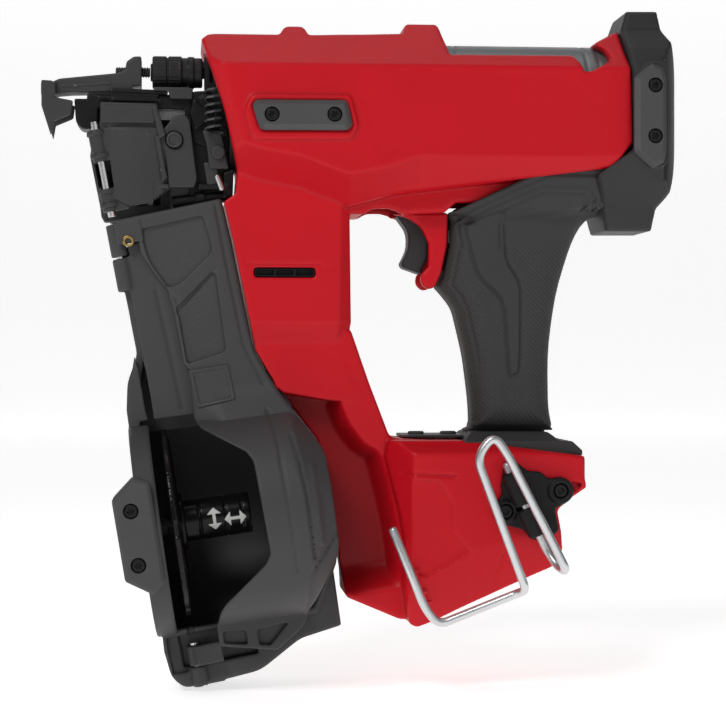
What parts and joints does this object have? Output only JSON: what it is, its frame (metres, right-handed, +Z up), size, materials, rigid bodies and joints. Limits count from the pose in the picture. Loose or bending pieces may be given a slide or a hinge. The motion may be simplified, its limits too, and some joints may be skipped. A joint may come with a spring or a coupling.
{
  "type": "cordless coil roofing nailer",
  "caption": "Coil nailer with a barrel housing, hand grip, tilted nail canister, hinged cover and nose door, contact arm, belt hook and battery foot.",
  "frame": {"origin": "centre of the hand grip, in the tool's middle plane", "axes": "+X to the rear along the drive axis, +Y to the tool's right side, +Z up from the battery foot to the barrel"},
  "size_m": [0.3187, 0.1152, 0.3359],
  "materials": {
    "red_plastic": "satin moulded glass-filled nylon, bright red",
    "grip_rubber": "soft overmould with a fine dotted texture",
    "black_plastic": "satin black glass-filled nylon",
    "pad_rubber": "firm dark grey bumper rubber",
    "emblem": null,
    "screw_steel": "black oxide socket screws",
    "dark_steel": "phosphated steel, dark grey",
    "bright_steel": "ground steel",
    "hook_steel": "zinc-plated spring wire",
    "reservoir_aluminium": "satin grey anodised tube",
    "cylinder_aluminium": "machined aluminium",
    "inner_rubber": "moulded rubber",
    "copper": "copper windings on a steel core",
    "board_green": "lacquered board"
  },
  "bodies": {
    "housing": {"housing_left": "red_plastic", "housing_right": "red_plastic", "grip_left": "grip_rubber", "grip_right": "grip_rubber", "rear_cap": "black_plastic", "magazine_body": "black_plastic", "control_pad": "black_plastic", "trigger_switch": "black_plastic", "terminal_block": "black_plastic", "hook_bracket": "black_plastic", "body_pad_left": "pad_rubber", "body_pad_right": "pad_rubber", "cap_pad_left": "pad_rubber", "cap_pad_right": "pad_rubber", "magazine_pad": "pad_rubber", "body_pad_screw_front": "screw_steel", "body_pad_screw_rear": "screw_steel", "cap_pad_screw_upper": "screw_steel", "cap_pad_screw_lower": "screw_steel", "magazine_pad_screw_upper": "screw_steel", "magazine_pad_screw_lower": "screw_steel", "hook_screw_rear": "screw_steel", "hook_screw_front": "screw_steel", "nosepiece": "dark_steel", "feed_housing": "dark_steel", "gearbox_case": "dark_steel", "motor_can": "dark_steel", "nose_hinge_pin": "bright_steel", "cover_pin_upper": "bright_steel", "cover_pin_lower": "bright_steel", "trigger_pin": "bright_steel", "contact_spring": "bright_steel", "gas_reservoir": "reservoir_aluminium", "drive_cylinder": "cylinder_aluminium", "bumper": "inner_rubber", "control_board": "board_green"},
    "contact_yoke": {"contact_yoke": "black_plastic"},
    "contact_arm": {"contact_arm": "dark_steel"},
    "depth_knob": {"depth_knob": "black_plastic", "depth_screw": "dark_steel"},
    "nose_door": {"nose_door": "dark_steel"},
    "latch_button": {"latch_button": "bright_steel"},
    "magazine_cover": {"magazine_cover": "black_plastic", "emblem_plate": "emblem"},
    "nail_platform": {"nail_platform": "black_plastic"},
    "platform_post": {"platform_post": "black_plastic"},
    "belt_hook": {"belt_hook": "hook_steel"},
    "driver": {"driver_blade": "bright_steel", "piston": "cylinder_aluminium", "piston_seal": "inner_rubber"},
    "lifter": {"lifter_wheel": "bright_steel"},
    "rotor": {"motor_rotor": "copper"},
    "feed_pawl": {"feed_pawl": "bright_steel"},
    "trigger": {"trigger": "black_plastic"},
    "mode_button": {"mode_button": "black_plastic"},
    "power_button": {"power_button": "black_plastic"}
  },
  "joints": [
    {"name": "trigger_pull", "type": "hinge", "parent": "housing", "child": "trigger", "pos_m": [-0.0455, 0, 0.061], "axis": [0, -1, 0], "range_deg": [0, 11], "stiffness_Nm_per_rad": 0.6, "springref_deg": -8.59},
    {"name": "contact_push", "type": "slide", "parent": "housing", "child": "contact_yoke", "axis": [1, 0, 0], "range_m": [0, 0.008], "stiffness_N_per_m": 900, "springref_m": -0.006},
    {"name": "depth_knob_turn", "type": "hinge", "parent": "contact_yoke", "child": "depth_knob", "pos_m": [-0.18, 0, 0.1276], "axis": [1, 0, 0], "range_deg": [-722, 722]},
    {"name": "depth_adjust", "type": "slide", "parent": "contact_yoke", "child": "contact_arm", "axis": [1, 0, 0], "range_m": [-0.0025, 0.0025]},
    {"name": "nose_door_swing", "type": "hinge", "parent": "housing", "child": "nose_door", "pos_m": [-0.1961, -0.014, 0.0423], "axis": [0.1874, 0, -0.9823], "range_deg": [0, 105]},
    {"name": "latch_press", "type": "slide", "parent": "nose_door", "child": "latch_button", "axis": [0, 1, 0], "range_m": [0, 0.0015], "stiffness_N_per_m": 600, "springref_m": -0.001},
    {"name": "cover_swing", "type": "hinge", "parent": "housing", "child": "magazine_cover", "pos_m": [-0.1961, -0.014, 0.0423], "axis": [0.1874, 0, -0.9823], "range_deg": [0, 90]},
    {"name": "platform_slide", "type": "slide", "parent": "housing", "child": "nail_platform", "axis": [0.9903, 0, 0.1392], "range_m": [-0.009, 0.012]},
    {"name": "post_turn", "type": "hinge", "parent": "nail_platform", "child": "platform_post", "pos_m": [-0.1403, -0.012, -0.091], "axis": [0.9903, 0, 0.1392], "range_deg": [0, 45]},
    {"name": "hook_swing", "type": "hinge", "parent": "housing", "child": "belt_hook", "pos_m": [-0.0084, -0.0445, -0.0656], "axis": [-0.423, 0, 0.9061], "range_deg": [0, 80]},
    {"name": "lifter_turn", "type": "hinge", "parent": "housing", "child": "lifter", "pos_m": [-0.109, 0.0135, 0.107], "axis": [0, 0, 1], "range_deg": [0, 349.2]},
    {"name": "driver_stroke", "type": "slide", "parent": "housing", "child": "driver", "axis": [1, 0, 0], "range_m": [-0.0001, 0.0641]},
    {"name": "motor_turn", "type": "hinge", "parent": "housing", "child": "rotor", "pos_m": [-0.109, 0, 0.04], "axis": [0, 0, 1], "range_deg": [-10, 4200]},
    {"name": "feed_index", "type": "slide", "parent": "housing", "child": "feed_pawl", "axis": [0, 0, 1], "range_m": [0, 0.01], "stiffness_N_per_m": 150, "springref_m": -0.006},
    {"name": "mode_press", "type": "slide", "parent": "housing", "child": "mode_button", "axis": [0, 0, -1], "range_m": [0, 0.0006], "stiffness_N_per_m": 800, "springref_m": -0.0006},
    {"name": "power_press", "type": "slide", "parent": "housing", "child": "power_button", "axis": [0, 0, -1], "range_m": [0, 0.0006], "stiffness_N_per_m": 800, "springref_m": -0.0006}
  ],
  "couplings": [
    {"joint": "depth_knob_turn", "follows": "depth_adjust", "rad_per_m": 5026.5},
    {"joint": "driver_stroke", "follows": "lifter_turn", "m_per_rad": 0.0105},
    {"joint": "motor_turn", "follows": "lifter_turn", "ratio": 12}
  ]
}
